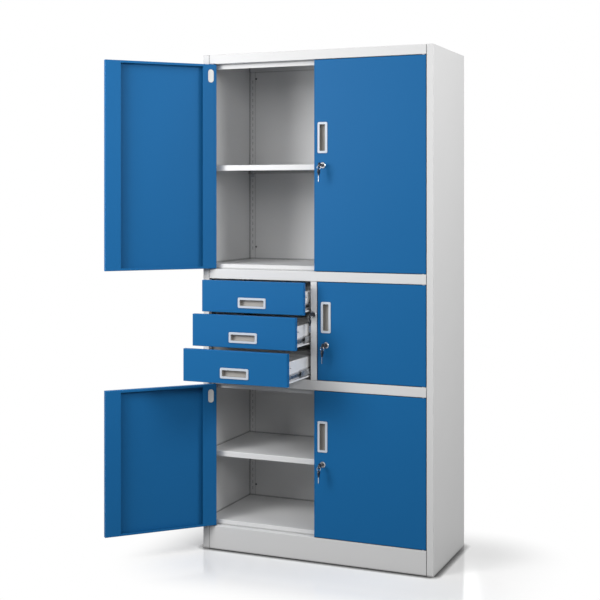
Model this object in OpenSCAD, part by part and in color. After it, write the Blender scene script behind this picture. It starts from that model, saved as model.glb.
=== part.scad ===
// Metal office cabinet with a safe: a tall folded-sheet carcass with a pair of doors above,
// a pair of doors below, and between them three drawers beside a safe.
// Frame: origin on the floor at the middle of the carcass, +Z up, the front faces -Y.
// The model stands as the cabinet is shown: left doors open, drawers part way out.

/* [Carcass] */
// Outside width of the carcass
body_w = 900; // [760:5:1100]
// Outside depth of the carcass
body_d = 400; // [390:5:560]
// Thickness of the folded steel sheet
sheet_t = 1; // [0.8:0.1:1.2]
// Inside radius of the folds
bend_r = 1; // [0.6:0.1:1.4]
// Width of the stiles at the left and right of the doors
stile_w = 25; // [22:1:34]
// Height of the plinth under the lower doors
plinth_h = 88; // [60:1:140]
// Clear height behind the lower doors
lower_opening_h = 531.5; // [420:0.5:700]
// Height of the two rails between the sections
deck_rail_h = 36; // [34:1:60]
// Clear height of the drawer and safe section
bay_opening_h = 357; // [340:1:420]
// Clear height behind the upper doors
upper_opening_h = 766.5; // [600:0.5:900]
// Height of the rail above the upper doors
top_rail_h = 35; // [26:1:60]
// Distance from the front to the door stops
recess_d = 24; // [23.5:0.5:30]
// Height of the stop lips above and below the doors
stop_lip_h = 18; // [12:1:24]
// Width of the flanges that the back panel is fixed to
rear_flange_w = 25; // [20:1:32]
// Depth of the front flanges that carry the shelf clips
clip_flange_w = 15; // [13:1:20]
// Width of the mullion between the drawers and the safe
mullion_w = 25; // [24:1:32]
// Width of the flanges the cabinet stands on
foot_flange_w = 25; // [15:1:60]
// Edge of the back panel inside the outline of the carcass
back_inset = 2; // [1:0.5:6]

/* [Doors] */
// Thickness of a door leaf
leaf_t = 20; // [18:1:21]
// Gap between a leaf and its hinge stile
hinge_gap = 2; // [1.5:0.5:3]
// Gap above and below a leaf
end_gap = 1.5; // [1.2:0.1:3]
// Gap between two leaves of a pair
centre_gap = 3; // [2:0.5:5]
// Width of the folded flange beside the hinges
hinge_flange_w = 54; // [40:1:80]
// Width of the folded flange at the free edge
free_flange_w = 57; // [52:1:80]
// Width of the folded flanges at the top and bottom of a leaf
end_flange_w = 9; // [6:1:14]
// Distance from the stile to the hinge axis
pivot_inset = 12.5; // [12.5:0.5:14]
// Distance from the front face to the hinge axis
pivot_back = 5; // [4.8:0.1:5]
// Diameter of the hinge pins
pin_d = 5; // [4:0.5:5]
// How far the pins stand beyond the leaf's gap
pin_reach = 8; // [5:1:12]
// How far the two left leaves stand open
open_angle = 134; // [90:1:134]
// Width of the pad of the spring bolt, seen in the hinge flange
pad_w = 21; // [16:1:24]
// Height of the pad
pad_h = 49; // [40:1:60]
// Distance from the hinge edge of the leaf to the pad
pad_inset = 12; // [10:1:16]
// Distance from the top of the leaf to the pad
pad_drop = 19; // [16:1:40]

/* [Shelves] */
// Height of a shelf's folded edge
shelf_t = 21; // [16:1:30]
// Distance from the front of the carcass to a shelf
shelf_setback = 34; // [34:1:60]
// Width of the folds under the front and rear edges of a shelf
shelf_return = 12; // [8:1:20]
// Gap between a shelf and the side panels
shelf_side_gap = 1; // [0.5:0.5:3]
// Spacing of the clip slots
slot_pitch = 25; // [20:1:40]
// Height of the first clip slot
slot_start = 10; // [5:1:20]
// Width of a clip slot
slot_w = 4; // [3.5:0.1:5]
// Height of a clip slot
slot_h = 12; // [10:1:14]
// Count of slots below the one that carries the lower shelf
lower_shelf_slot_count = 13; // [10:1:15]
// Count of slots below the one that carries the upper shelf
upper_shelf_slot_count = 56; // [52:1:58]

/* [Drawers] */
// Gap around the drawer fronts
front_gap = 2; // [1.5:0.5:3]
// Width of the folds at the back of a drawer front
front_flange_w = 12; // [8:1:16]
// Depth of the drawer boxes
box_d = 350; // [300:5:352]
// Height of a drawer box's sides above its ledges
box_h = 67; // [55:1:68]
// Height of the ledges above the bottom of the drawer front
ledge_z = 15; // [12:1:15]
// Width of the ledge below each slide
ledge_w = 5; // [3:0.5:7]
// Height of the turned edge of the ledge
ledge_h = 6; // [4:0.5:8]
// Width of the hem along the top of the box
hem_w = 6; // [4:0.5:10]
// Height that the back of a drawer box is lower than its sides
back_drop = 8; // [0:1:20]
// Distance that the top drawer is pulled out
top_pull = 61; // [0:1:300]
// Distance that the middle drawer is pulled out
middle_pull = 134; // [0:1:300]
// Distance that the bottom drawer is pulled out
bottom_pull = 203; // [0:1:300]
// Height of the strips between the drawers
strip_h = 16; // [10:1:18]
// Depth of the strips between the drawers
strip_d = 20; // [10:1:30]
// Width of the posts that carry the left slides
post_w = 30; // [20:1:50]

/* [Slides] */
// Length of the slides
slide_len = 350; // [300:5:352]
// Height of the outer slide member
slide_h = 28; // [28:1:32]
// Thickness of a complete slide
slide_t = 12.7; // [12.7:0.1:14]
// Sheet thickness of the slide members
slide_sheet = 1.2; // [1:0.1:1.4]
// Ball gap between the outer and middle members
outer_ball = 3; // [2.6:0.1:3.4]
// Ball gap between the middle and inner members
inner_ball = 2.6; // [2.4:0.1:3]
// Length of a ball cage
cage_len = 60; // [40:5:90]
// Spacing of the holes in the inner member
hole_pitch = 40; // [30:1:64]
// Diameter of the holes in the inner member
hole_d = 5; // [3:0.5:6]

/* [Safe] */
// Wall thickness of the safe
safe_wall = 2; // [1.5:0.5:3]
// Width of the frame around the safe's mouth
safe_frame_w = 18; // [16:1:24]
// Distance from the safe to the mullion
safe_side_gap = 1.5; // [1:0.5:3]
// Overlap of the safe behind the right stile
safe_overlap = 5; // [2:1:12]
// Space behind the safe
safe_rear_gap = 8; // [4:1:60]
// Thickness of the plate that closes the safe door
plate_t = 1.2; // [1:0.1:1.5]
// Edge of the plate inside the outline of the safe door
plate_inset = 8; // [8:1:20]

/* [Handles] */
// Length of a recessed handle
handle_len = 112; // [90:1:130]
// Width of a recessed handle
handle_w = 38; // [34:1:44]
// Width of the handle's rim
handle_rim = 8; // [6:1:9]
// Height that the rim stands proud
handle_proud = 2; // [1:0.5:3]
// Depth of the cup
cup_d = 16; // [12:1:16]
// Wall thickness of the cup
cup_wall = 1.2; // [1:0.1:2]
// Depth of the finger space behind one long rim
cup_undercut = 4; // [2:0.5:5]
// Distance from the free edge of a leaf to the handle's middle
handle_inset = 33; // [30:1:36]
// Height of the handle's middle above the lock on the tall doors
handle_rise = 100; // [85:1:160]
// Distance of a drawer handle below the middle of its front
drawer_handle_drop = 21; // [0:1:30]

/* [Locks] */
// Diameter of the lock barrel
barrel_d = 19; // [16:0.5:19]
// Diameter of the lock's front ring
bezel_d = 22; // [20:0.5:24]
// Height that the ring stands proud
bezel_h = 3; // [2:0.5:4]
// Diameter of the lock plug
plug_d = 12; // [10:0.5:13]
// Reach of the cams on the tall doors
door_cam_len = 50; // [42:1:60]
// Reach of the cam on the safe door
safe_cam_len = 27; // [22:1:29]
// Width of the cams
cam_w = 16; // [12:1:16]
// Thickness of the cams
cam_t = 2.5; // [2:0.5:3]
// Height of the safe's lock below the middle of its door
safe_lock_drop = 50; // [40:1:60]
// Radius of the eccentric pin that lifts the drawer lock bar
crank_r = 5; // [4:0.5:5]
// Diameter of the eccentric pin
crank_pin_d = 4; // [3:0.5:4]
// Width of the drawer lock bar
bar_w = 21; // [19:1:22]
// Thickness of the drawer lock bar
bar_t = 2; // [1.5:0.5:3]
// Diameter of the catch studs on the drawers
stud_d = 5; // [4:0.5:6]
// Height of the catch studs above the bottom of the drawer front
stud_z = 64; // [62:1:72]

/* [Keys] */
// Radius of a key's round head
bow_r = 10; // [8:0.5:11]
// Thickness of a key's head
bow_t = 3.6; // [3:0.2:4]
// Distance from the head's middle to its ring hole
bow_hole_offset = 6.5; // [5:0.5:6.5]
// Radius of the ring hole
bow_hole_r = 2; // [1.8:0.1:2.4]
// Length of a key from its ring hole to the tip
key_len = 45; // [40:1:50]
// Thickness of a key's blade
blade_t = 2; // [1.6:0.1:2.2]
// Width of a key's blade
blade_w = 7.6; // [6:0.2:8]
// Distance from the door to the ring hole of the key in the lock
key_stand_out = 35.5; // [33:0.5:38]
// Radius of the key ring, to the middle of its wire
ring_r = 7; // [6.5:0.5:10]
// Diameter of the key ring's wire
ring_wire = 1.4; // [1:0.1:1.6]

/* [Hidden] */
$fn = 48;

// Clearances
seam = 0.2;          // between pieces of the carcass that butt together
run = 0.05;          // radial, a pin or plug that turns in its hole
slack = 0.3;         // between pieces that slide past each other
margin = 1;          // how far a cutting shape runs past the face it cuts
bend_steps = 3;      // flats per right-angle fold
corner_steps = 5;    // flats per rounded corner

// Planes of the carcass
front_y = -body_d / 2;
back_y = body_d / 2;
side_x = body_w / 2;
stile_x = side_x - stile_w;
wall_x = side_x - sheet_t;
recess_y = front_y + recess_d;
back_panel_y = back_y - sheet_t;
deck_back_y = back_panel_y - sheet_t - seam;
base_z = plinth_h + stop_lip_h;
lower_rail_z = plinth_h + lower_opening_h;
bay_z = lower_rail_z + deck_rail_h;
upper_rail_z = bay_z + bay_opening_h;
upper_z = upper_rail_z + deck_rail_h;
upper_floor_z = upper_z + stop_lip_h;
top_rail_z = upper_z + upper_opening_h;
body_h = top_rail_z + top_rail_h;
mullion_x = mullion_w / 2;
deck_flange_h = 20;
post_top_z = upper_floor_z - sheet_t - seam;

// Hinges
pivot_x = stile_x - pivot_inset;
pivot_y = front_y + pivot_back;
pin_r = pin_d / 2;
bush_r = min(pin_r + 1.3, pivot_back - sheet_t - seam);
bush_flange_r = pivot_back - 2 * seam;
bush_flange_t = end_gap - 0.5;
bush_len = 4;
pair_leaf_w = stile_x - hinge_gap - centre_gap / 2;
safe_leaf_w = stile_x - hinge_gap - mullion_x - front_gap;
upper_leaf_h = upper_opening_h - 2 * end_gap;
lower_leaf_h = lower_opening_h - 2 * end_gap;
safe_leaf_h = bay_opening_h - 2 * end_gap;

// Locks: barrels end just in front of the cams, cams run just behind the safe's frame
cam_y = recess_d + safe_wall + slack;
barrel_len = cam_y - slack;
pair_lock_x = centre_gap / 2 + handle_inset;
safe_lock_x = mullion_x + front_gap + handle_inset;
upper_lock_z = upper_z + upper_opening_h / 2;
lower_lock_z = plinth_h + lower_opening_h / 2;
safe_lock_z = bay_z + bay_opening_h / 2 - safe_lock_drop;
safe_handle_z = bay_z + bay_opening_h / 2 + safe_lock_drop;
nut_flats = 21;
nut_t = 4;

// Drawers
drawer_count = 3;
front_h = (bay_opening_h - (drawer_count + 1) * front_gap) / drawer_count;
front_w = stile_x - mullion_x - 2 * front_gap;
front_mid_x = -(stile_x + mullion_x) / 2;
drawer_pulls = [bottom_pull, middle_pull, top_pull];
box_w = stile_x - mullion_x - 2 * slide_t;
box_front_y = front_y + leaf_t;
slide_mid_z = ledge_z + seam + slack + slide_h / 2;
slide_front_y = recess_y + 1;
strip_z = ledge_z + box_h + 2;
drawer_lock_z = drawer_z(2) - front_gap / 2;
bar_y = front_y + cam_y + cam_t + slack;
bar_lift = 2 * crank_r * sin(45);
bar_bottom_z = bay_z + 12;
bar_top_z = upper_rail_z - 12;
stud_y = bar_y + bar_t + slack + stud_d / 2;
stud_gap = 1.5;
stud_shank_r = stud_d / 2 - 1;
finger_h = 12;
finger_reach = 7;
strap_h = 12;

// Shelves
slot_x = stile_x + clip_flange_w * 2 / 3;
clip_w = 12;
clip_t = 1.2;
clip_h = 16;
clip_ledge = 28;
clip_seat = 6;
tongue_w = slot_w - 1;
tongue_h = slot_h - 3;
shelf_front_y = front_y + shelf_setback;
shelf_back_y = deck_back_y - 2;

// Keys
keyway_gap = 0.1;
ring_drop = bow_hole_r - ring_wire / 2 - slack;

function drawer_z(i) = bay_z + front_gap + i * (front_h + front_gap);
function shelf_z(slot_count) = slot_start + slot_count * slot_pitch + clip_seat;

// Sheet folded along a path of right angles. The sheet lies to the left of the path.
function unit(v) = v / norm(v);
function left_of(v) = [-v[1], v[0]];
function turn(a, b) = a[0] * b[1] - a[1] * b[0];
function reversed(list) = [for (i = [len(list) - 1:-1:0]) list[i]];
function bend(path, i, inset, t, r) =
    let (
        a = unit(path[i] - path[i - 1]),
        b = unit(path[i + 1] - path[i]),
        s = turn(a, b),
        path_r = s > 0 ? r + t : r,
        centre = path[i] + path_r * (b - a),
        arc_r = path_r - s * inset
    )
    [for (k = [0:bend_steps])
        let (f = 90 * k / bend_steps)
        centre + arc_r * (a * sin(f) - b * cos(f))];
function folded(path, t = sheet_t, r = bend_r) =
    let (
        n = len(path),
        first = left_of(unit(path[1] - path[0])),
        last = left_of(unit(path[n - 1] - path[n - 2]))
    )
    concat(
        [path[0]],
        [for (i = [1:n - 2]) each bend(path, i, 0, t, r)],
        [path[n - 1], path[n - 1] + t * last],
        [for (i = [n - 2:-1:1]) each reversed(bend(path, i, t, t, r))],
        [path[0] + t * first]
    );

// Rectangle with round corners, its corner at the origin or its middle there
function corner(x, y, r, start) =
    [for (k = [0:corner_steps])
        let (a = start + 90 * k / corner_steps)
        [x + r * cos(a), y + r * sin(a)]];
function round_rect(w, h, r) = concat(
    corner(w - r, h - r, r, 0),
    corner(r, h - r, r, 90),
    corner(r, r, r, 180),
    corner(w - r, r, r, 270)
);

module along_x(x0, x1) {
    translate([x0, 0, 0]) rotate([90, 0, 90]) linear_extrude(x1 - x0) children();
}

module along_y(y0, y1) {
    translate([0, y1, 0]) rotate([90, 0, 0]) linear_extrude(y1 - y0) children();
}

module along_z(z0, z1) {
    translate([0, 0, z0]) linear_extrude(z1 - z0) children();
}

module block(a, b) {
    translate(a) cube(b - a);
}

module rod_x(r, x0, x1) {
    translate([x0, 0, 0]) rotate([0, 90, 0]) cylinder(r = r, h = x1 - x0);
}

module rod_y(r, y0, y1) {
    translate([0, y0, 0]) rotate([-90, 0, 0]) cylinder(r = r, h = y1 - y0);
}

module rod_z(r, z0, z1) {
    translate([0, 0, z0]) cylinder(r = r, h = z1 - z0);
}

module both_sides() {
    children();
    mirror([1, 0, 0]) children();
}

module middled(w, h) {
    translate([-w / 2, -h / 2]) children();
}

// Carcass

module stile_notches(z0, z1) {
    both_sides()
        block([stile_x - seam, front_y - margin, z0], [side_x + margin, recess_y, z1]);
}

module bush_holes(z, sides = [-1, 1]) {
    for (s = sides)
        translate([s * pivot_x, pivot_y, z]) rod_z(bush_r + run, -2 * sheet_t, 2 * sheet_t);
}

module clip_slots(y, z0, z1) {
    first = ceil((z0 - slot_start) / slot_pitch);
    last = floor((z1 - slot_start) / slot_pitch);
    for (i = [first:last])
        translate([slot_x, y, slot_start + i * slot_pitch])
            cube([slot_w, 4 * sheet_t, slot_h], center = true);
}

module side_panel() {
    path = [
        [side_x - rear_flange_w, back_panel_y],
        [side_x, back_panel_y],
        [side_x, front_y],
        [stile_x, front_y],
        [stile_x, recess_y],
        [stile_x + clip_flange_w, recess_y]
    ];
    difference() {
        along_z(0, body_h) polygon(folded(reversed(path)));
        // room for the top panel over the stile
        block([0, front_y - margin, body_h - sheet_t - seam], [wall_x, back_y, body_h + margin]);
        for (y = [recess_y, back_panel_y]) {
            clip_slots(y, base_z + slot_pitch, lower_rail_z - slot_pitch);
            clip_slots(y, upper_floor_z + slot_pitch, top_rail_z - slot_pitch);
        }
    }
}

module side_panel_left() {
    color("gainsboro") mirror([1, 0, 0]) side_panel();
}

module side_panel_right() {
    color("gainsboro") side_panel();
}

module top_panel() {
    path = [
        [deck_back_y, body_h - rear_flange_w],
        [deck_back_y, body_h],
        [front_y, body_h],
        [front_y, top_rail_z],
        [recess_y, top_rail_z],
        [recess_y, top_rail_z - stop_lip_h]
    ];
    color("gainsboro") difference() {
        along_x(-wall_x + seam, wall_x - seam) polygon(folded(path));
        stile_notches(top_rail_z - stop_lip_h - margin, body_h - sheet_t);
        bush_holes(top_rail_z);
    }
}

module back_panel() {
    color("gainsboro")
        block([back_inset - side_x, back_panel_y, back_inset],
              [side_x - back_inset, back_y, body_h - back_inset]);
}

module base_deck() {
    path = [
        [deck_back_y - foot_flange_w, 0],
        [deck_back_y, 0],
        [deck_back_y, base_z],
        [recess_y, base_z],
        [recess_y, plinth_h],
        [front_y, plinth_h],
        [front_y, 0],
        [front_y + foot_flange_w, 0]
    ];
    deck_x = wall_x - seam;
    color("gainsboro") difference() {
        union() {
            along_x(-deck_x, deck_x) polygon(folded(path));
            both_sides() {
                block([deck_x - sheet_t, recess_y, 0], [deck_x, deck_back_y - bend_r, base_z - bend_r]);
                block([deck_x - foot_flange_w, recess_y, 0], [deck_x, deck_back_y - bend_r, sheet_t]);
            }
        }
        stile_notches(-margin, base_z + margin);
        bush_holes(plinth_h);
    }
}

module lower_deck() {
    path = [
        [deck_back_y, bay_z - deck_flange_h],
        [deck_back_y, bay_z],
        [front_y, bay_z],
        [front_y, lower_rail_z],
        [recess_y, lower_rail_z],
        [recess_y, lower_rail_z - stop_lip_h]
    ];
    color("gainsboro") difference() {
        along_x(-wall_x + seam, wall_x - seam) polygon(folded(path));
        stile_notches(lower_rail_z - stop_lip_h - margin, bay_z + margin);
        bush_holes(lower_rail_z);
        bush_holes(bay_z, [1]);
    }
}

module upper_deck() {
    path = [
        [deck_back_y, upper_floor_z - deck_flange_h],
        [deck_back_y, upper_floor_z],
        [recess_y, upper_floor_z],
        [recess_y, upper_z],
        [front_y, upper_z],
        [front_y, upper_rail_z],
        [recess_y, upper_rail_z]
    ];
    color("gainsboro") difference() {
        along_x(-wall_x + seam, wall_x - seam) polygon(folded(path));
        stile_notches(upper_rail_z - margin, upper_floor_z + margin);
        bush_holes(upper_z);
        bush_holes(upper_rail_z, [1]);
    }
}

// Guides that hold the drawer lock bar against the partition
module bar_straps() {
    strap_x = bar_w / 2 + slack;
    for (z = [bar_bottom_z + 20, bar_top_z - 20 - strap_h])
        for (y = [bar_y - slack - sheet_t, bar_y + bar_t + slack])
            block([-mullion_x, y, z], [strap_x, y + sheet_t, z + strap_h]);
}

module bay_partition() {
    rear_y = deck_back_y - sheet_t - seam;
    path = [
        [mullion_x, rear_y],
        [-mullion_x, rear_y],
        [-mullion_x, front_y],
        [mullion_x, front_y],
        [mullion_x, recess_y]
    ];
    color("gainsboro") difference() {
        union() {
            along_z(bay_z, post_top_z) polygon(folded(path));
            bar_straps();
        }
        // the upper rail runs over the mullion
        block([-mullion_x - margin, front_y - margin, upper_rail_z - seam],
              [mullion_x + margin, recess_y + sheet_t + seam, post_top_z + margin]);
        translate([0, front_y, drawer_lock_z]) rod_y(barrel_d / 2 + run, -margin, 2 * sheet_t);
        for (i = [0:drawer_count - 1])
            finger(i, -slack, bar_lift + slack, -mullion_x - margin, -mullion_x + 2 * sheet_t, slack);
    }
}

module safe_box() {
    x0 = mullion_x + safe_side_gap;
    x1 = stile_x + safe_overlap;
    y1 = back_y - safe_rear_gap;
    z1 = upper_rail_z - front_gap / 2;
    color("gainsboro") difference() {
        block([x0, recess_y, bay_z], [x1, y1, z1]);
        block([x0 + safe_wall, recess_y + safe_wall, bay_z + safe_wall],
              [x1 - safe_wall, y1 - safe_wall, z1 - safe_wall]);
        block([x0 + safe_frame_w, recess_y - margin, bay_z + safe_frame_w],
              [stile_x - safe_frame_w, recess_y + 2 * safe_wall, z1 - safe_frame_w]);
    }
}

module post(y0) {
    path = [
        [-wall_x + seam, y0],
        [-stile_x, y0],
        [-stile_x, y0 + post_w],
        [-wall_x + seam, y0 + post_w]
    ];
    along_z(bay_z, post_top_z) polygon(folded(path));
}

module drawer_frame() {
    color("silver") {
        post(slide_front_y);
        post(slide_front_y + slide_len - post_w);
        for (i = [0:drawer_count - 2])
            along_x(-stile_x, -mullion_x)
                polygon(folded([
                    [recess_y + strip_d, drawer_z(i) + strip_z + strip_h],
                    [recess_y, drawer_z(i) + strip_z + strip_h],
                    [recess_y, drawer_z(i) + strip_z]
                ]));
    }
}

module shelf(z) {
    x = wall_x - shelf_side_gap;
    path = [
        [shelf_back_y - shelf_return, z],
        [shelf_back_y, z],
        [shelf_back_y, z + shelf_t],
        [shelf_front_y, z + shelf_t],
        [shelf_front_y, z],
        [shelf_front_y + shelf_return, z]
    ];
    color("whitesmoke") {
        along_x(-x, x) polygon(folded(path));
        both_sides()
            block([x - sheet_t, shelf_front_y + sheet_t, z + shelf_t / 3],
                  [x, shelf_back_y - sheet_t, z + shelf_t - bend_r]);
    }
}

module upper_shelf() {
    shelf(shelf_z(upper_shelf_slot_count));
}

module lower_shelf() {
    shelf(shelf_z(lower_shelf_slot_count));
}

// Clip under a corner of a shelf: plate on the flange, ledge, and a tongue in the slot.
// The back panel closes the rear slots, so only the front clips hook behind the sheet.
module clip() {
    block([-clip_w / 2, 0, -clip_h], [clip_w / 2, clip_t, 0]);
    block([-clip_w / 2, 0, -clip_t], [clip_w / 2, clip_ledge, 0]);
    block([-tongue_w / 2, -0.7 * sheet_t, -clip_seat - tongue_h / 2],
          [tongue_w / 2, clip_t, -clip_seat + tongue_h / 2]);
    children();
}

module hook() {
    hook_y = -sheet_t - slack;
    block([-tongue_w / 2, hook_y - clip_t, -clip_seat - tongue_h / 2],
          [tongue_w / 2, clip_t, -clip_seat + tongue_h / 2]);
    block([-tongue_w / 2, hook_y - clip_t, -clip_seat - slot_h / 2 - 2],
          [tongue_w / 2, hook_y, -clip_seat + tongue_h / 2]);
}

module shelf_clips() {
    color("silver")
        for (z = [shelf_z(lower_shelf_slot_count), shelf_z(upper_shelf_slot_count)])
            both_sides() {
                translate([slot_x, recess_y, z]) clip() hook();
                translate([slot_x, back_panel_y - sheet_t, z]) mirror([0, 1, 0]) clip();
            }
}

// Bush with its flange below the sheet, for a hole above a leaf
module bush() {
    difference() {
        union() {
            rod_z(bush_r, -bush_flange_t, bush_len);
            rod_z(bush_flange_r, -bush_flange_t, 0);
        }
        rod_z(pin_r + run, -bush_flange_t - margin, bush_len + margin);
    }
}

module bush_pair(x, z_low, z_high) {
    translate([x, pivot_y, z_high]) bush();
    translate([x, pivot_y, z_low]) mirror([0, 0, 1]) bush();
}

module hinge_bushes() {
    color("white") {
        for (s = [-1, 1]) {
            bush_pair(s * pivot_x, upper_z, top_rail_z);
            bush_pair(s * pivot_x, plinth_h, lower_rail_z);
        }
        bush_pair(pivot_x, bay_z, upper_rail_z);
    }
}

// Door leaves, drawn from the hinge edge at x = 0 with the front at y = 0

module pan(w, h, left_flange, right_flange, end_flange) {
    r = bend_r + sheet_t;
    difference() {
        intersection() {
            along_z(0, h) polygon(round_rect(w, leaf_t, r));
            along_x(0, w) polygon(round_rect(leaf_t, h, r));
        }
        block([sheet_t, sheet_t, sheet_t], [w - sheet_t, leaf_t - sheet_t, h - sheet_t]);
        block([left_flange, leaf_t - 2 * sheet_t, end_flange],
              [w - right_flange, leaf_t + margin, h - end_flange]);
    }
}

// Oblong slot or pad in the hinge flange, standing on its long axis
module oblong(w, h, y0, y1) {
    along_y(y0, y1) polygon(round_rect(w, h, w / 2 - 0.01));
}

module place_pad(h) {
    translate([pad_inset, 0, h - pad_drop - pad_h]) children();
}

module hinge_leaf(w, h, with_bolt) {
    axis_x = pivot_inset - hinge_gap;
    difference() {
        pan(w, h, hinge_flange_w, free_flange_w, end_flange_w);
        translate([axis_x, pivot_back, h]) rod_z(pin_r + 2 * run, -2 * sheet_t, margin);
        if (with_bolt)
            place_pad(h) translate([-seam, 0, -seam])
                oblong(pad_w + 2 * seam, pad_h + 2 * seam, leaf_t - 2 * sheet_t, leaf_t + margin);
    }
    // fixed pin at the bottom, with the thicker seat that holds it
    translate([axis_x, pivot_back, 0]) {
        rod_z(pin_r, -end_gap - pin_reach, sheet_t);
        rod_z(pin_r + 1, sheet_t / 2, 3 * sheet_t);
    }
}

// Spring bolt: a housing in the hinge flange, its pad to push, and the pin it carries
module pivot_bolt(h) {
    axis_x = pivot_inset - hinge_gap;
    color("white") {
        difference() {
            block([sheet_t + 2 * seam, sheet_t + seam, h - pad_drop - pad_h - 3],
                  [pad_inset + pad_w + 3, leaf_t - sheet_t - seam, h - pad_drop + 3]);
            block([pad_inset + 3, leaf_t - sheet_t - 4, h - pad_drop - pad_h + 8],
                  [pad_inset + pad_w - 3, leaf_t + margin, h - pad_drop - 8]);
        }
        difference() {
            place_pad(h) oblong(pad_w, pad_h, leaf_t - 2 * sheet_t, leaf_t + 0.8);
            place_pad(h) translate([3.5, 0, 3.5]) oblong(pad_w - 7, pad_h - 7, leaf_t, leaf_t + margin);
        }
        translate([axis_x, pivot_back, 0])
            rod_z(pin_r, h - pad_drop, h + end_gap + pin_reach);
    }
}

module fixed_top_pin(h) {
    translate([pivot_inset - hinge_gap, pivot_back, h]) {
        rod_z(pin_r, -sheet_t, end_gap + pin_reach);
        rod_z(pin_r + 1, -3 * sheet_t, -sheet_t / 2);
    }
}

module handle_cutout() {
    w = handle_w - 2 * handle_rim + 2 * cup_wall + cup_undercut + 2 * seam;
    len = handle_len - 2 * handle_rim + 2 * cup_wall + 2 * seam;
    translate([-w / 2 - cup_undercut / 2, 0, -len / 2])
        block([0, -margin, 0], [w, 2 * sheet_t, len]);
}

module lock_holes(plate) {
    rod_y(barrel_d / 2 + run, -margin, 2 * sheet_t);
    rod_y(barrel_d / 2 + run, leaf_t - 2 * sheet_t, leaf_t + plate + margin);
}

// Puts a leaf's parts in the carcass; the right leaves are mirrored ones
module at_right_leaf(z) {
    translate([stile_x - hinge_gap, front_y, z + end_gap]) mirror([1, 0, 0]) children();
}

module at_left_leaf(z) {
    translate([-pivot_x, pivot_y, 0]) rotate([0, 0, -open_angle])
        translate([pivot_x - stile_x + hinge_gap, -pivot_back, z + end_gap]) children();
}

module left_door(z, h) {
    color("steelblue") at_left_leaf(z) hinge_leaf(pair_leaf_w, h, true);
}

module right_door(z, h, lock_z) {
    color("steelblue") difference() {
        at_right_leaf(z) hinge_leaf(pair_leaf_w, h, true);
        translate([pair_lock_x, front_y, lock_z]) lock_holes(0);
        translate([pair_lock_x, front_y, lock_z + handle_rise]) handle_cutout();
    }
}

module upper_left_door() {
    left_door(upper_z, upper_leaf_h);
}

module upper_left_pivot_bolt() {
    at_left_leaf(upper_z) pivot_bolt(upper_leaf_h);
}

module upper_right_door() {
    right_door(upper_z, upper_leaf_h, upper_lock_z);
}

module upper_right_pivot_bolt() {
    at_right_leaf(upper_z) pivot_bolt(upper_leaf_h);
}

module lower_left_door() {
    left_door(plinth_h, lower_leaf_h);
}

module lower_left_pivot_bolt() {
    at_left_leaf(plinth_h) pivot_bolt(lower_leaf_h);
}

module lower_right_door() {
    right_door(plinth_h, lower_leaf_h, lower_lock_z);
}

module lower_right_pivot_bolt() {
    at_right_leaf(plinth_h) pivot_bolt(lower_leaf_h);
}

module safe_door() {
    color("steelblue") difference() {
        at_right_leaf(bay_z) {
            hinge_leaf(safe_leaf_w, safe_leaf_h, false);
            fixed_top_pin(safe_leaf_h);
        }
        translate([safe_lock_x, front_y, safe_lock_z]) lock_holes(0);
        translate([safe_lock_x, front_y, safe_handle_z]) handle_cutout();
    }
}

module safe_door_back_plate() {
    color("steelblue") difference() {
        at_right_leaf(bay_z)
            block([plate_inset, leaf_t, plate_inset],
                  [safe_leaf_w - plate_inset, leaf_t + plate_t, safe_leaf_h - plate_inset]);
        translate([safe_lock_x, front_y, safe_lock_z]) lock_holes(plate_t);
    }
}

// Recessed handle: rim in front of the sheet and a cup behind it, long side upright,
// with the finger space behind the rim on the side of the free edge
module handle() {
    mouth_w = handle_w - 2 * handle_rim;
    mouth_len = handle_len - 2 * handle_rim;
    bevel = handle_proud / 2;
    inner_w = mouth_w + cup_undercut;
    difference() {
        union() {
            along_y(-bevel, 0) middled(handle_w, handle_len)
                polygon(round_rect(handle_w, handle_len, 5));
            along_y(-handle_proud, 0) middled(handle_w - bevel, handle_len - bevel)
                polygon(round_rect(handle_w - bevel, handle_len - bevel, 4.5));
            translate([-cup_undercut / 2, 0, 0])
                along_y(0, cup_d) middled(inner_w + 2 * cup_wall, mouth_len + 2 * cup_wall)
                    polygon(round_rect(inner_w + 2 * cup_wall, mouth_len + 2 * cup_wall, 4));
        }
        along_y(-handle_proud - margin, 2) middled(mouth_w, mouth_len)
            polygon(round_rect(mouth_w, mouth_len, 3));
        translate([-cup_undercut / 2, 0, 0])
            along_y(1.5, cup_d - cup_wall) middled(inner_w, mouth_len)
                polygon(round_rect(inner_w, mouth_len, 3));
    }
}

module upper_door_handle() {
    color("lightgray") translate([pair_lock_x, front_y, upper_lock_z + handle_rise]) handle();
}

module lower_door_handle() {
    color("lightgray") translate([pair_lock_x, front_y, lower_lock_z + handle_rise]) handle();
}

module safe_door_handle() {
    color("lightgray") translate([safe_lock_x, front_y, safe_handle_z]) handle();
}

// Locks, drawn along the y axis with the front of the sheet at y = 0

module lock_housing() {
    bore = plug_d / 2 + run;
    r = barrel_d / 2;
    bevel = bezel_h / 2;
    profile = [
        [bore, -bezel_h],
        [bezel_d / 2 - bevel, -bezel_h],
        [bezel_d / 2, -bevel],
        [bezel_d / 2, 0],
        [r, 0],
        [r, barrel_len],
        [bore, barrel_len]
    ];
    color("silver") {
        rotate([-90, 0, 0]) rotate_extrude() polygon(profile);
        // nut behind the sheet
        difference() {
            translate([0, sheet_t + run, 0]) rotate([-90, 30, 0])
                cylinder(d = nut_flats / cos(30), h = nut_t, $fn = 6);
            rod_y(r + run, 0, sheet_t + nut_t + margin);
        }
    }
}

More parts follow.
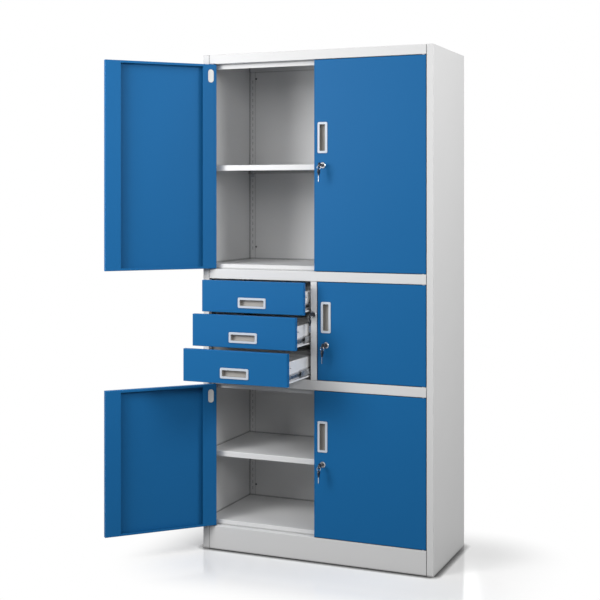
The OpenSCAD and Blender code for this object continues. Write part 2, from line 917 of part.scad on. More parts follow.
module plug() {
    difference() {
        rod_y(plug_d / 2, -bezel_h, cam_y + cam_t);
        block([-blade_t / 2 - keyway_gap, -bezel_h - margin, -blade_w / 2 - keyway_gap],
              [blade_t / 2 + keyway_gap, key_len - key_stand_out + 1, blade_w / 2 + keyway_gap]);
    }
}

module cam_screw() {
    translate([0, cam_y + cam_t - 0.5, 0]) rotate([-90, 0, 0]) cylinder(d = 8, h = 2.5, $fn = 6);
}

module cam_plug(reach) {
    color("silver") {
        plug();
        cam_screw();
        along_y(cam_y, cam_y + cam_t)
            translate([-cam_w / 2, -reach]) polygon(round_rect(cam_w, reach + cam_w / 2, cam_w / 3));
    }
}

// Plug of the drawer lock: its disc carries an eccentric pin that lifts the lock bar
module crank_plug() {
    color("silver") {
        plug();
        rod_y(crank_r + crank_pin_d / 2 + 1.5, cam_y, cam_y + cam_t);
        rotate([0, 45, 0]) translate([crank_r, 0, 0])
            rod_y(crank_pin_d / 2, cam_y, cam_y + cam_t + slack + bar_t + 1);
    }
}

// Key drawn from its ring hole at the origin, its blade along +y, flat side facing x
module key() {
    bow_end = bow_hole_offset + bow_r;
    along_x(-bow_t / 2, bow_t / 2) difference() {
        union() {
            translate([bow_hole_offset, 0]) circle(r = bow_r);
            translate([bow_hole_offset, -blade_w / 2 - 1]) square([bow_r + 5, blade_w + 2]);
        }
        circle(r = bow_hole_r);
    }
    along_x(-blade_t / 2, blade_t / 2)
        polygon([
            [bow_end, -blade_w / 2],
            [key_len - 3, -blade_w / 2],
            [key_len, -blade_w / 2 + 3],
            [key_len, blade_w / 2 - 2],
            [key_len - 2, blade_w / 2],
            [bow_end, blade_w / 2]
        ]);
}

module inserted_key() {
    color("dimgray") translate([0, -key_stand_out, 0]) key();
}

// Ring through the head of the key in the lock, with the spare key hanging from it
module spare_key() {
    ring_z = -ring_drop - ring_r;
    color("dimgray") translate([0, -key_stand_out, 0]) {
        translate([0, 0, ring_z]) rotate([90, 0, 0])
            rotate_extrude() translate([ring_r, 0]) circle(d = ring_wire, $fn = 16);
        translate([0, 0, ring_z - ring_r - ring_drop]) rotate([-90, 0, 0]) key();
    }
}

module at_upper_lock() {
    translate([pair_lock_x, front_y, upper_lock_z]) children();
}

module at_lower_lock() {
    translate([pair_lock_x, front_y, lower_lock_z]) children();
}

module at_safe_lock() {
    translate([safe_lock_x, front_y, safe_lock_z]) children();
}

module at_drawer_lock() {
    translate([0, front_y, drawer_lock_z]) children();
}

// Drawer lock bar with one finger for each drawer's catch stud

module finger(i, z_down, z_up, x0, x1, around) {
    top_z = drawer_z(i) + stud_z + stud_d / 2 + 0.5 - bar_lift;
    block([x0, bar_y - around, top_z - finger_h + z_down],
          [x1, bar_y + bar_t + around, top_z + z_up]);
}

module drawer_lock_bar() {
    pin_z = drawer_lock_z - crank_r * sin(45);
    pin_gap = 0.35;
    half_slot = crank_pin_d / 2 + pin_gap;
    color("silver") difference() {
        union() {
            block([-bar_w / 2, bar_y, bar_bottom_z], [bar_w / 2, bar_y + bar_t, bar_top_z]);
            for (i = [0:drawer_count - 1])
                finger(i, 0, 0, -mullion_x - finger_reach, 0, 0);
        }
        block([crank_r * cos(45) - half_slot, bar_y - margin, pin_z - half_slot],
              [crank_r + half_slot, bar_y + bar_t + margin, pin_z + half_slot]);
    }
}

// Drawers, drawn closed and then pulled out

module pulled(i, share = 1) {
    translate([0, -share * drawer_pulls[i], 0]) children();
}

module drawer_front(i) {
    color("steelblue") pulled(i) difference() {
        translate([-stile_x + front_gap, front_y, drawer_z(i)])
            pan(front_w, front_h, front_flange_w, front_flange_w, front_flange_w);
        translate([front_mid_x, front_y, drawer_z(i) + front_h / 2 - drawer_handle_drop])
            rotate([0, 90, 0]) handle_cutout();
    }
}

module drawer_handle(i) {
    color("lightgray") pulled(i)
        translate([front_mid_x, front_y, drawer_z(i) + front_h / 2 - drawer_handle_drop])
            rotate([0, 90, 0]) handle();
}

module box_side(z) {
    x = -box_w / 2;
    polygon(folded([
        [x + hem_w, z + ledge_z + box_h],
        [x, z + ledge_z + box_h],
        [x, z + ledge_z],
        [x - ledge_w, z + ledge_z],
        [x - ledge_w, z + ledge_z - ledge_h]
    ]));
}

module drawer_tray(z) {
    y1 = box_front_y + box_d;
    half = box_w / 2 - sheet_t;
    along_y(box_front_y, y1) box_side(z);
    along_y(box_front_y, y1) mirror([1, 0]) box_side(z);
    block([-half - sheet_t / 2, box_front_y, z + ledge_z],
          [half + sheet_t / 2, y1, z + ledge_z + sheet_t]);
    block([-half - sheet_t / 2, box_front_y, z + ledge_z],
          [half + sheet_t / 2, box_front_y + sheet_t, z + ledge_z + box_h - bend_r]);
    block([-half - sheet_t / 2, y1 - sheet_t, z + ledge_z],
          [half + sheet_t / 2, y1, z + ledge_z + box_h - back_drop]);
}

// Drawn at the outer face of the drawer's right side
module catch_stud() {
    rod_x(stud_d / 2, run, slide_t - stud_gap);
    rod_x(stud_shank_r, -2 * sheet_t, 2 * run);
    rod_x(stud_d / 2, -2 * sheet_t - run, -sheet_t - run);
}

// The box, and the catch stud that is riveted through its right side for the lock bar
module drawer_box(i) {
    color("whitesmoke") pulled(i) {
        difference() {
            translate([front_mid_x, 0, 0]) drawer_tray(drawer_z(i));
            translate([-mullion_x - slide_t, stud_y, drawer_z(i) + stud_z])
                rod_x(stud_shank_r + run, -2 * sheet_t, margin);
        }
        translate([-mullion_x - slide_t, stud_y, drawer_z(i) + stud_z]) catch_stud();
    }
}

// Slides, drawn at the left wall: s runs from the wall to the drawer, h up from the middle

module slide_profile(i) {
    translate([-stile_x, drawer_z(i) + slide_mid_z]) children();
}

module slide_pair(i, share) {
    pulled(i, share) translate([front_mid_x, 0, 0]) both_sides() translate([-front_mid_x, 0, 0])
        along_y(slide_front_y, slide_front_y + slide_len) slide_profile(i) children();
}

half_outer = slide_h / 2;
half_middle = half_outer - slide_sheet - outer_ball;
half_inner = half_middle - slide_sheet - inner_ball;
outer_lip_s = slide_t - 2.7;
middle_lip_s = slide_t - slide_sheet;
middle_web_s = slide_sheet + 1;
slide_bend = slide_sheet / 2;

module outer_section() {
    polygon(folded([
        [outer_lip_s, half_outer - 3.2],
        [outer_lip_s, half_outer],
        [0, half_outer],
        [0, -half_outer],
        [outer_lip_s, -half_outer],
        [outer_lip_s, -half_outer + 3.2]
    ], slide_sheet, slide_bend));
}

module middle_section() {
    polygon(folded([
        [middle_lip_s, half_middle - 2.6],
        [middle_lip_s, half_middle],
        [middle_web_s, half_middle],
        [middle_web_s, -half_middle],
        [middle_lip_s, -half_middle],
        [middle_lip_s, -half_middle + 2.6]
    ], slide_sheet, slide_bend));
}

module inner_section() {
    polygon(folded([
        [middle_web_s + slide_sheet + 1.6, -half_inner],
        [slide_t, -half_inner],
        [slide_t, half_inner],
        [middle_web_s + slide_sheet + 1.6, half_inner]
    ], slide_sheet, slide_bend));
}

module slide_outer_members() {
    color("silver")
        for (i = [0:drawer_count - 1])
            slide_pair(i, 0) outer_section();
}

// Cages that carry the balls above and below: the rear ones run in the outer member,
// the front ones on the inner member
module cages(i) {
    rear_y = slide_front_y + slide_len - cage_len - 20;
    front_cage_y = slide_front_y + 20;
    pulled(i, 0.5) translate([front_mid_x, 0, 0]) both_sides() translate([-front_mid_x, 0, 0])
        for (m = [0, 1]) {
            along_y(rear_y, rear_y + cage_len) slide_profile(i) mirror([0, m])
                translate([middle_web_s + 1, half_middle - 0.2])
                    square([outer_lip_s - slide_sheet - slack - middle_web_s - 1,
                            outer_ball - slack + 0.2]);
            along_y(front_cage_y, front_cage_y + cage_len) slide_profile(i) mirror([0, m])
                translate([middle_web_s + slide_sheet + 2, half_inner + slack])
                    square([middle_lip_s - slide_sheet - slack - middle_web_s - slide_sheet - 2,
                            inner_ball - slack + 0.2]);
        }
}

module slide_middles(i) {
    color("darkgray") {
        slide_pair(i, 0.5) middle_section();
        cages(i);
    }
}

module slide_inners(i) {
    first = slide_front_y + hole_pitch / 2;
    last = slide_front_y + slide_len - hole_pitch / 2;
    color("silver") difference() {
        slide_pair(i, 1) inner_section();
        pulled(i)
            for (y = [first:hole_pitch:last])
                translate([0, y, drawer_z(i) + slide_mid_z]) {
                    rod_x(hole_d / 2, -stile_x + slide_t - 2 * slide_sheet, -stile_x + slide_t + margin);
                    rod_x(hole_d / 2, -mullion_x - slide_t - margin,
                          -mullion_x - slide_t + 2 * slide_sheet);
                }
    }
}

side_panel_left();
side_panel_right();
top_panel();
back_panel();
base_deck();
lower_deck();
upper_deck();
bay_partition();
safe_box();
drawer_frame();
upper_shelf();
lower_shelf();
shelf_clips();
hinge_bushes();
slide_outer_members();
at_drawer_lock() lock_housing();  // drawer_lock_housing
upper_left_door();
upper_left_pivot_bolt();
upper_right_door();
upper_right_pivot_bolt();
upper_door_handle();
at_upper_lock() lock_housing();  // upper_lock_housing
at_upper_lock() cam_plug(door_cam_len);  // upper_lock_plug
at_upper_lock() inserted_key();  // upper_key
at_upper_lock() spare_key();  // upper_spare_key
lower_left_door();
lower_left_pivot_bolt();
lower_right_door();
lower_right_pivot_bolt();
lower_door_handle();
at_lower_lock() lock_housing();  // lower_lock_housing
at_lower_lock() cam_plug(door_cam_len);  // lower_lock_plug
at_lower_lock() inserted_key();  // lower_key
at_lower_lock() spare_key();  // lower_spare_key
safe_door();
safe_door_back_plate();
safe_door_handle();
at_safe_lock() lock_housing();  // safe_lock_housing
at_safe_lock() cam_plug(safe_cam_len);  // safe_lock_plug
at_safe_lock() inserted_key();  // safe_key
at_safe_lock() spare_key();  // safe_spare_key
at_drawer_lock() crank_plug();  // drawer_lock_plug
at_drawer_lock() inserted_key();  // drawer_key
at_drawer_lock() spare_key();  // drawer_spare_key
drawer_lock_bar();
drawer_front(2);  // top_drawer_front
drawer_handle(2);  // top_drawer_handle
drawer_box(2);  // top_drawer_box
slide_inners(2);  // top_slide_inners
slide_middles(2);  // top_slide_middles
drawer_front(1);  // middle_drawer_front
drawer_handle(1);  // middle_drawer_handle
drawer_box(1);  // middle_drawer_box
slide_inners(1);  // middle_slide_inners
slide_middles(1);  // middle_slide_middles
drawer_front(0);  // bottom_drawer_front
drawer_handle(0);  // bottom_drawer_handle
drawer_box(0);  // bottom_drawer_box
slide_inners(0);  // bottom_slide_inners
slide_middles(0);  // bottom_slide_middles
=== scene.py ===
import math

import bmesh
import bpy
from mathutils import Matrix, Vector


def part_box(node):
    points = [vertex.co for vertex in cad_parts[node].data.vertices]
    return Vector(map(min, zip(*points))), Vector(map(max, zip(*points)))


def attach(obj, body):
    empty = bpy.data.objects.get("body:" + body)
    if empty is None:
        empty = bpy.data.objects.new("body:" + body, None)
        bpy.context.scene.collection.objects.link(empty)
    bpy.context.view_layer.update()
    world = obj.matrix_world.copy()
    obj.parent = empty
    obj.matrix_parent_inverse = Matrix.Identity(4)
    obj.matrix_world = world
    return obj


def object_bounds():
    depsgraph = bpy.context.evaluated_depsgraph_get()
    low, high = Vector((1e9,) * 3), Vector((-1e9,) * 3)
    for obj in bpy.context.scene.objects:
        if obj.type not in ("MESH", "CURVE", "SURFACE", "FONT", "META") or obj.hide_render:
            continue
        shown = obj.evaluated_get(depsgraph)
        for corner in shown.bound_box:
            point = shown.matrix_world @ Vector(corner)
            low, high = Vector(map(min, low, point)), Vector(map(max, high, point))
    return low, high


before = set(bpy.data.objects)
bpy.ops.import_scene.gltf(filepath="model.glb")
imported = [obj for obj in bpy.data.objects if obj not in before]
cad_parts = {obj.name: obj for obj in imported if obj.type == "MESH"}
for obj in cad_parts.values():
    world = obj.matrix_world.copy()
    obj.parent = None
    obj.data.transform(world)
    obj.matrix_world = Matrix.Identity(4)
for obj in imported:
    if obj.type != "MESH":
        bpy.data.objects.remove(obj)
cad_low, cad_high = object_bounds()

MM = 0.001
FRONT_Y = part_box("base_deck")[0].y
LOCKS = ("upper", "lower", "safe", "drawer")
WHITE = (1.0, 1.0, 1.0, 1.0)


# Camera: the photograph's viewpoint, to the right in front of the cabinet, looking level

CAMERA_AT = (1.633063, -4.09812, 1.321519)
CAMERA_TURN = (90.0, 0.0, 22.5)
CAMERA_LENS = 70.19
CAMERA_SHIFT = (-0.0306, -0.1734)
SENSOR_W = 36.0


def add_camera():
    data = bpy.data.cameras.new("camera")
    data.lens = CAMERA_LENS
    data.sensor_width = SENSOR_W
    data.shift_x, data.shift_y = CAMERA_SHIFT
    camera = bpy.data.objects.new("camera", data)
    camera.location = CAMERA_AT
    camera.rotation_euler = [math.radians(a) for a in CAMERA_TURN]
    bpy.context.scene.collection.objects.link(camera)
    bpy.context.scene.camera = camera


# Materials

def linear(r, g, b):
    """An sRGB colour of 0 to 255 as the linear colour that a shader takes."""
    out = []
    for c in (r, g, b):
        c = c / 255.0
        out.append(c / 12.92 if c <= 0.04045 else ((c + 0.055) / 1.055) ** 2.4)
    return (*out, 1.0)


def new_material(name):
    material = bpy.data.materials.new(name)
    material.use_nodes = True
    tree = material.node_tree
    return material, tree, tree.nodes["Principled BSDF"]


def feed(tree, socket, value):
    """Links an output to the socket, or sets the socket to a plain value."""
    if isinstance(value, bpy.types.NodeSocket):
        tree.links.new(value, socket)
    else:
        socket.default_value = value


def computed(tree, operation, *values):
    node = tree.nodes.new("ShaderNodeMath")
    node.operation = operation
    for socket, value in zip(node.inputs, values):
        feed(tree, socket, value)
    return node.outputs[0]


def computed_vector(tree, operation, *vectors):
    node = tree.nodes.new("ShaderNodeVectorMath")
    node.operation = operation
    for socket, vector in zip(node.inputs, vectors):
        feed(tree, socket, vector)
    return node.outputs["Vector"]


def vector_length(tree, vector):
    node = tree.nodes.new("ShaderNodeVectorMath")
    node.operation = "LENGTH"
    tree.links.new(vector, node.inputs[0])
    return node.outputs["Value"]


def mixed(tree, share, first, second, blend="MIX"):
    """The first colour at a share of 0, and the second, or its blend with the first, at 1."""
    node = tree.nodes.new("ShaderNodeMix")
    node.data_type = "RGBA"
    node.blend_type = blend
    feed(tree, node.inputs["Factor"], share)
    feed(tree, node.inputs["A"], first)
    feed(tree, node.inputs["B"], second)
    return node.outputs["Result"]


def mixed_shaders(tree, share, first, second):
    node = tree.nodes.new("ShaderNodeMixShader")
    tree.links.new(share, node.inputs["Fac"])
    tree.links.new(first, node.inputs[1])
    tree.links.new(second, node.inputs[2])
    return node.outputs[0]


def object_place(tree):
    """The place on the piece, which moves with it."""
    return tree.nodes.new("ShaderNodeTexCoord").outputs["Object"]


NOISE_DETAIL = 2.0
BUMP_DETAIL = 3.0
METAL_DETAIL = 4.0


def object_noise(tree, scale, detail=NOISE_DETAIL):
    noise = tree.nodes.new("ShaderNodeTexNoise")
    noise.inputs["Scale"].default_value = scale
    noise.inputs["Detail"].default_value = detail
    tree.links.new(object_place(tree), noise.inputs["Vector"])
    return noise.outputs["Fac"]


def openness(tree, reach, samples):
    """1 on an open surface, and less where something stands within the reach."""
    node = tree.nodes.new("ShaderNodeAmbientOcclusion")
    node.inputs["Distance"].default_value = reach
    node.samples = samples
    return node.outputs["AO"]


# Values taken from noise, nearly all of which lies between the low and the high mark

NOISE_LOW = 0.3
NOISE_HIGH = 0.7
ROUGH_SPREAD = 0.03


def spread(tree, value, low, high):
    """The noise value, mapped from low to high."""
    node = tree.nodes.new("ShaderNodeMapRange")
    node.inputs["From Min"].default_value = NOISE_LOW
    node.inputs["From Max"].default_value = NOISE_HIGH
    node.inputs["To Min"].default_value = low
    node.inputs["To Max"].default_value = high
    tree.links.new(value, node.inputs["Value"])
    return node.outputs["Result"]


def tinted(tree, value, colour, share):
    """The colour, lighter and darker by that share with the noise value."""
    darker = [c * (1 - share) for c in colour[:3]] + [1.0]
    lighter = [min(c * (1 + share), 1.0) for c in colour[:3]] + [1.0]
    return mixed(tree, value, darker, lighter)


def bumped(tree, shader, scale, strength, distance):
    bump = tree.nodes.new("ShaderNodeBump")
    bump.inputs["Strength"].default_value = strength
    bump.inputs["Distance"].default_value = distance
    tree.links.new(object_noise(tree, scale, BUMP_DETAIL), bump.inputs["Height"])
    tree.links.new(bump.outputs["Normal"], shader.inputs["Normal"])


# Powder coat: very even colour, fine orange peel, and painted shade that darkens it in the narrow
# gaps between sheets

COAT_DRIFT = 0.015
COAT_DRIFT_SCALE = 6.0
COAT_SPECKS = 700.0
PEEL_SCALE = 900.0
PEEL_STRENGTH = 0.12
PEEL_DEPTH = 0.2 * MM
# Painted shade in the gaps: how far to look for other sheets, the colour it multiplies the coat
# by, how sharply it falls off and the number of samples
GAP_REACH = 7.0 * MM
GAP_SHADE = (0.12, 0.12, 0.12, 1.0)
GAP_POWER = 1.6
GAP_SAMPLES = 6


# Painted shade: the coat turns darker where ambient occlusion finds other sheets close by,
# standing in for the shade in narrow gaps
def with_painted_gap_shade(tree, coat):
    share = computed(tree, "POWER", openness(tree, GAP_REACH, GAP_SAMPLES), GAP_POWER)
    dark = mixed(tree, 1.0, coat, GAP_SHADE, "MULTIPLY")
    return mixed(tree, share, dark, coat)


def powder_coat(name, colour, roughness, level=0.5, joint_colour=None):
    material, tree, shader = new_material(name)
    coat = tinted(tree, object_noise(tree, COAT_DRIFT_SCALE), colour, COAT_DRIFT)
    # Painted shade in the narrow gaps between sheets
    coat = with_painted_gap_shade(tree, coat)
    if joint_colour:
        coat = with_joints(tree, coat, joint_colour)
    tree.links.new(coat, shader.inputs["Base Color"])
    specks = object_noise(tree, COAT_SPECKS)
    rough = spread(tree, specks, roughness - ROUGH_SPREAD, roughness + ROUGH_SPREAD)
    tree.links.new(rough, shader.inputs["Roughness"])
    shader.inputs["Specular IOR Level"].default_value = level
    bumped(tree, shader, PEEL_SCALE, PEEL_STRENGTH, PEEL_DEPTH)
    return material


# Joints between the ends of the rails and the stiles, seen as a thin dark line on the front

JOINT_X = cad_high.x - 25.8 * MM
JOINT_HALF = 0.6 * MM
FRONT_SKIN = 0.5 * MM


def with_joints(tree, coat, joint_colour):
    """The coat with the dark line of the joint at both ends of a rail's front."""
    parts = tree.nodes.new("ShaderNodeSeparateXYZ")
    tree.links.new(object_place(tree), parts.inputs["Vector"])
    across = computed(tree, "ABSOLUTE", parts.outputs["X"])
    line = computed(tree, "COMPARE", across, JOINT_X, JOINT_HALF)
    front = computed(tree, "LESS_THAN", parts.outputs["Y"], FRONT_Y + FRONT_SKIN)
    return mixed(tree, computed(tree, "MULTIPLY", line, front), coat, joint_colour)


# Plastic: smooth, with a very fine grain

PLASTIC_DRIFT = 0.02
PLASTIC_DRIFT_SCALE = 40.0
GRAIN_SCALE = 1500.0
GRAIN_STRENGTH = 0.05
GRAIN_DEPTH = 0.1 * MM


def plastic(name, colour, roughness):
    material, tree, shader = new_material(name)
    drift = object_noise(tree, PLASTIC_DRIFT_SCALE)
    tree.links.new(tinted(tree, drift, colour, PLASTIC_DRIFT), shader.inputs["Base Color"])
    rough = spread(tree, drift, roughness - ROUGH_SPREAD, roughness + ROUGH_SPREAD)
    tree.links.new(rough, shader.inputs["Roughness"])
    bumped(tree, shader, GRAIN_SCALE, GRAIN_STRENGTH, GRAIN_DEPTH)
    return material


# Bare metal: colour and roughness drift with the same noise

METAL_DRIFT = 0.06
METAL_ROUGH_SHARE = 0.2


def metal(name, colour, roughness, grain_scale):
    material, tree, shader = new_material(name)
    shader.inputs["Metallic"].default_value = 1.0
    drift = object_noise(tree, grain_scale, METAL_DETAIL)
    tree.links.new(tinted(tree, drift, colour, METAL_DRIFT), shader.inputs["Base Color"])
    smoothest = roughness * (1 - METAL_ROUGH_SHARE)
    roughest = roughness * (1 + METAL_ROUGH_SHARE)
    tree.links.new(spread(tree, drift, smoothest, roughest), shader.inputs["Roughness"])
    return material


# The materials of the cabinet

LIGHT_GREY = linear(224, 224, 224)
JOINT_GREY = linear(96, 96, 98)
BLUE = powder_coat("blue_powder_coat", linear(25, 103, 161), 0.5, level=0.12)
GREY = powder_coat("light_grey_powder_coat", LIGHT_GREY, 0.5, level=0.3)
RAIL_GREY = powder_coat("rail_powder_coat", LIGHT_GREY, 0.5, level=0.3, joint_colour=JOINT_GREY)
SHELF_WHITE = powder_coat("shelf_powder_coat", linear(231, 231, 231), 0.45)
DRAWER_WHITE = powder_coat("drawer_powder_coat", linear(244, 244, 244), 0.42)
FRAME_GREY = powder_coat("frame_grey_paint", linear(122, 122, 120), 0.5)
HANDLE = plastic("handle_plastic", linear(202, 210, 220), 0.34)
# The cup's darker grey, which is also painted as shade on the walls of the handles' mouths
HANDLE_CUP_AND_SHADE = plastic("handle_cup_and_mouth_shade", linear(168, 165, 161), 0.45)
WHITE_PLASTIC = plastic("white_plastic", linear(224, 224, 222), 0.38)
KEY_BLACK = plastic("key_plastic", linear(30, 31, 34), 0.35)
CHROME = metal("lock_chrome", linear(214, 216, 218), 0.14, 60.0)
ZINC = metal("zinc_steel", linear(190, 193, 196), 0.3, 150.0)
NICKEL = metal("key_nickel", linear(205, 206, 208), 0.22, 90.0)
LOCK_DARK = metal("lock_plug_metal", linear(84, 86, 90), 0.25, 80.0)
LOCK_RING_METAL = metal("lock_ring_metal", linear(128, 130, 134), 0.3, 80.0)

RAILS = ("top_panel", "upper_deck", "lower_deck", "base_deck")


def material_for(node):
    if node.endswith("_door") or node.endswith("_front") or node == "safe_door_back_plate":
        return BLUE
    if node.endswith("_handle"):
        return HANDLE
    if "pivot_bolt" in node or node == "hinge_bushes":
        return WHITE_PLASTIC
    if node.endswith("_plug"):
        return LOCK_DARK
    if "housing" in node:
        return CHROME
    if node.endswith("_key"):
        return KEY_BLACK
    if "slide" in node or node in ("shelf_clips", "drawer_lock_bar"):
        return ZINC
    if node.endswith("_drawer_box"):
        return DRAWER_WHITE
    if node.endswith("_shelf"):
        return SHELF_WHITE
    if node == "drawer_frame":
        return FRAME_GREY
    if node in RAILS:
        return RAIL_GREY
    return GREY


def set_material(piece, material):
    piece.data.materials.clear()
    piece.data.materials.append(material)


def second_material(piece, material, chosen):
    """Gives another material to the faces whose middle is chosen."""
    piece.data.materials.append(material)
    index = len(piece.data.materials) - 1
    for face in piece.data.polygons:
        if chosen(face.center):
            face.material_index = index


def dress_frame():
    for name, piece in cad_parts.items():
        set_material(piece, material_for(name))


def pieces_ending(ending):
    """The CAD pieces whose names end so, each with the low and high corner of its box."""
    for name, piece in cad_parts.items():
        if name.endswith(ending):
            low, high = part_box(name)
            yield piece, low, high


# Handles: the cup is a darker grey than the rim, and the walls of its mouth take the same grey as
# painted shade

RIM_W = 7.2 * MM
RIM_SKIN = 0.3 * MM
RIM_DEPTH = 2.3 * MM


def dress_handles():
    for piece, low, high in pieces_ending("_handle"):

        # The cup, and the walls of the mouth, where the darker grey is painted shade
        def in_cup_or_mouth_shade(c, low=low, high=high):
            inside_x = low.x + RIM_W < c.x < high.x - RIM_W
            inside_z = low.z + RIM_W < c.z < high.z - RIM_W
            in_shaded_mouth = inside_x and inside_z and c.y > low.y + RIM_SKIN
            return in_shaded_mouth or c.y > low.y + RIM_DEPTH

        second_material(piece, HANDLE_CUP_AND_SHADE, in_cup_or_mouth_shade)


# Lock housings: the flat ring around the plug is dull, the bevel stays bright

LOCK_SKIN = 0.2 * MM


def dress_locks():
    for piece, low, high in pieces_ending("_lock_housing"):
        second_material(piece, LOCK_RING_METAL, lambda c, y=low.y + LOCK_SKIN: c.y < y)


# Hinge pins are bare steel where they leave the painted leaf or the plastic bolt

PIN_STANDS_OUT = 9.4 * MM


def dress_pins():
    for piece, low, high in pieces_ending("_door"):
        second_material(piece, ZINC, lambda c, z=low.z + PIN_STANDS_OUT: c.z < z)
    for ending in ("_pivot_bolt", "safe_door"):
        for piece, low, high in pieces_ending(ending):
            second_material(piece, ZINC, lambda c, z=high.z - PIN_STANDS_OUT: c.z > z)


# Keys: the head is moulded plastic, the blade and the ring are nickel plated

# The lengths of a key and of its head count from the hole for the ring
KEY_L = 45.0 * MM
KEY_HEAD = 21.5 * MM
KEY_HOLE_Y = FRONT_Y - 35.5 * MM
RING_R = 7.0 * MM
WIRE_R = 0.7 * MM
WIRE_REACH = 0.9 * MM


def dress_keys():
    for lock in LOCKS:
        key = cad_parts[lock + "_key"]
        second_material(key, NICKEL, lambda c: c.y > KEY_HOLE_Y + KEY_HEAD)
        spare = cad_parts[lock + "_spare_key"]
        low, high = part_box(lock + "_spare_key")
        ring_x = (low.x + high.x) / 2
        ring_z = high.z - RING_R - WIRE_R
        head_end = low.z + KEY_L - KEY_HEAD

        def bright(c):
            off = math.hypot(c.x - ring_x, c.z - ring_z)
            on_ring = abs(off - RING_R) < WIRE_REACH and abs(c.y - KEY_HOLE_Y) < WIRE_REACH
            return on_ring or c.z < head_end

        second_material(spare, NICKEL, bright)


# Screws of the back panel, in the rear corners of both door compartments

PANEL_T = 1.0 * MM
SCREW_X = cad_high.x - 29.5 * MM
SCREW_HEIGHTS = (1797 * MM, 1115 * MM, 590 * MM, 150 * MM)
SCREW_POINTS = 16
POINTS_PER_LOBE = 4

# Rings of a head in mm, from its foot to the floor of its recess: the radius on the four lobes
# of the recess, the height over the panel and the radius between the lobes
SCREW_RINGS = ((3.2, 0.0, 3.2), (3.1, 0.9, 3.1), (2.3, 1.6, 2.3), (1.6, 1.8, 0.9), (1.4, 0.7, 0.8))


def screw_head(mesh, place):
    """A domed head that looks to -Y, with a cross recess of four lobes."""
    rings = []
    for on_lobe, height, between in SCREW_RINGS:
        ring = []
        for k in range(SCREW_POINTS):
            turn = 2 * math.pi * k / SCREW_POINTS
            radius = (on_lobe if k % POINTS_PER_LOBE == 0 else between) * MM
            off = Vector((radius * math.cos(turn), -height * MM, radius * math.sin(turn)))
            ring.append(mesh.verts.new(place + off))
        rings.append(ring)
    for outer, inner in zip(rings, rings[1:]):
        for k in range(SCREW_POINTS):
            n = (k + 1) % SCREW_POINTS
            mesh.faces.new((outer[k], outer[n], inner[n], inner[k]))
    mesh.faces.new(rings[-1])
    mesh.faces.new(reversed(rings[0]))


def add_screws():
    panel_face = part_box("back_panel")[1].y - PANEL_T
    mesh = bmesh.new()
    for side in (-1, 1):
        for height in SCREW_HEIGHTS:
            screw_head(mesh, Vector((side * SCREW_X, panel_face, height)))
    bmesh.ops.recalc_face_normals(mesh, faces=mesh.faces)
    data = bpy.data.meshes.new("back_panel_screws")
    mesh.to_mesh(data)
    mesh.free()
    screws = bpy.data.objects.new("back_panel_screws", data)
    bpy.context.scene.collection.objects.link(screws)
    set_material(screws, LOCK_DARK)
    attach(screws, "carcass")


# Backdrop: white to the camera and in reflections, a weak light for everything else

WORLD_LIGHT = 0.12
BACKDROP = 1.0


def add_world():
    world = bpy.data.worlds.new("studio")
    world.use_nodes = True
    tree = world.node_tree
    light = tree.nodes["Background"]
    light.inputs["Color"].default_value = WHITE
    light.inputs["Strength"].default_value = WORLD_LIGHT
    backdrop = tree.nodes.new("ShaderNodeBackground")
    backdrop.inputs["Color"].default_value = WHITE
    backdrop.inputs["Strength"].default_value = BACKDROP
    rays = tree.nodes.new("ShaderNodeLightPath").outputs
    seen = computed(tree, "MAXIMUM", rays["Is Camera Ray"], rays["Is Transmission Ray"])
    seen = computed(tree, "MAXIMUM", seen, rays["Is Glossy Ray"])
    shader = mixed_shaders(tree, seen, light.outputs[0], backdrop.outputs[0])
    tree.links.new(shader, tree.nodes["World Output"].inputs["Surface"])
    bpy.context.scene.world = world


# Floor: white with a soft gloss, a painted contact shadow along the cabinet's foot, and as white
# as the backdrop away from the cabinet

# Half sides and centre of the rectangle from which the floor turns whiter
FOOTPRINT = (0.45, 0.2, 0.0)
FADE_CENTRE = (0.08, -0.13, 0.0)
FLOOR_WHITE_FROM = 0.02
FLOOR_WHITE_AT = 0.36
FLOOR_ROUGHNESS = 0.12
FLOOR_GLOSS = 0.35
FLOOR_SEEN = (0.98, 0.98, 0.98, 1.0)
FLOOR_BOUNCE = (0.08, 0.08, 0.08, 1.0)
# Painted contact shadow: the floor turns towards the dark contact colour where ambient occlusion
# finds the cabinet within the contact reach, sharpened by the contact power
FLOOR_CONTACT = 0.03
FLOOR_SAMPLES = 16
FLOOR_CONTACT_POWER = 6.0
PAINTED_CONTACT_SHADOW = (0.02, 0.02, 0.02, 1.0)
FLOOR_R = 30.0
FLOOR_POINTS = 96


def floor_fade(tree):
    """0 near the cabinet, 1 where the floor is as white as the backdrop."""
    place = computed_vector(tree, "SUBTRACT", object_place(tree), FADE_CENTRE)
    place = computed_vector(tree, "ABSOLUTE", place)
    beyond = computed_vector(tree, "SUBTRACT", place, FOOTPRINT)
    outside = computed_vector(tree, "MAXIMUM", beyond)
    fade = tree.nodes.new("ShaderNodeMapRange")
    fade.interpolation_type = "SMOOTHSTEP"
    fade.inputs["From Min"].default_value = FLOOR_WHITE_FROM
    fade.inputs["From Max"].default_value = FLOOR_WHITE_AT
    tree.links.new(vector_length(tree, outside), fade.inputs["Value"])
    return fade.outputs["Result"]


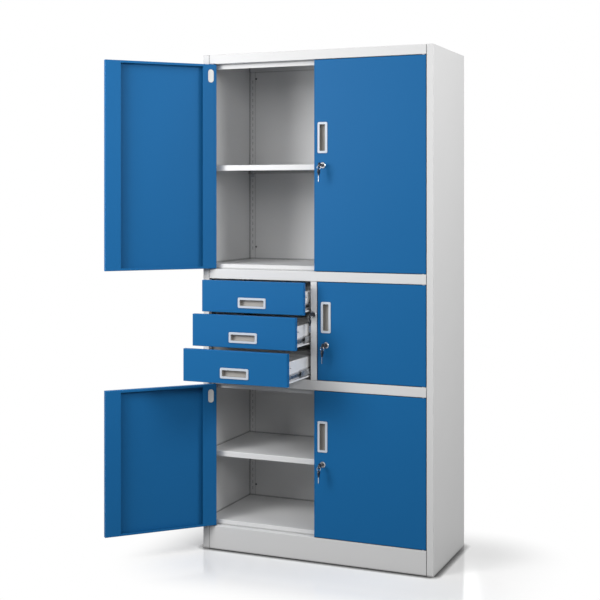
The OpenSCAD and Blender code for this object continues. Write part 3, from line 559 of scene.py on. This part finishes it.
def floor_material():
    material, tree, shader = new_material("studio_floor")
    shader.inputs["Roughness"].default_value = FLOOR_ROUGHNESS
    shader.inputs["Specular IOR Level"].default_value = FLOOR_GLOSS
    rays = tree.nodes.new("ShaderNodeLightPath").outputs
    seen = computed(tree, "MAXIMUM", rays["Is Camera Ray"], rays["Is Glossy Ray"])
    paint = mixed(tree, seen, FLOOR_BOUNCE, FLOOR_SEEN)
    # Painted contact shadow along the cabinet's foot
    contact_shadow = openness(tree, FLOOR_CONTACT, FLOOR_SAMPLES)
    contact_shadow = computed(tree, "POWER", contact_shadow, FLOOR_CONTACT_POWER)
    tree.links.new(mixed(tree, contact_shadow, PAINTED_CONTACT_SHADOW, paint), shader.inputs["Base Color"])
    white = tree.nodes.new("ShaderNodeEmission")
    white.inputs["Strength"].default_value = BACKDROP
    share = computed(tree, "MULTIPLY", floor_fade(tree), seen)
    surface = mixed_shaders(tree, share, shader.outputs[0], white.outputs[0])
    tree.links.new(surface, tree.nodes["Material Output"].inputs["Surface"])
    return material


def add_floor():
    bpy.ops.mesh.primitive_circle_add(
        vertices=FLOOR_POINTS, radius=FLOOR_R, fill_type="NGON", location=(0, 0, 0)
    )
    floor = bpy.context.object
    floor.name = "studio_floor"
    set_material(floor, floor_material())


# Lamps: place, the point that each one looks at, its size in metres and its power in watts

def add_area_light(name, place, aim, size, power):
    data = bpy.data.lights.new(name, "AREA")
    data.shape = "RECTANGLE"
    data.size, data.size_y = size
    data.energy = power
    lamp = bpy.data.objects.new(name, data)
    lamp.location = place
    lamp.rotation_euler = (Vector(aim) - Vector(place)).to_track_quat("-Z", "Y").to_euler()
    bpy.context.scene.collection.objects.link(lamp)


def add_lights():
    add_area_light("front_softbox", (-1.0, -2.8, 2.7), (0.0, 0.0, 1.3), (2.4, 1.6), 42.0)
    add_area_light("left_fill", (-1.4, -2.0, 1.7), (-0.2, -0.3, 0.9), (1.0, 1.0), 28.0)
    add_area_light("right_fill", (2.8, -3.2, 2.3), (-0.2, 0.0, 1.3), (1.2, 1.2), 26.0)
    add_area_light("side_softbox", (3.2, -1.1, 2.3), (0.2, -0.2, 1.4), (1.0, 1.0), 47.0)
    add_area_light("high_softbox", (2.2, 0.2, 3.6), (0.4, 0.0, 1.4), (1.4, 1.4), 23.0)
    add_area_light("back_fill", (-1.2, 3.6, 2.2), (0.0, 0.2, 1.0), (1.6, 1.6), 22.0)


add_camera()
dress_frame()
dress_handles()
dress_locks()
dress_pins()
dress_keys()
add_screws()
add_world()
add_floor()
add_lights()

bpy.context.scene.view_settings.view_transform = "Standard"
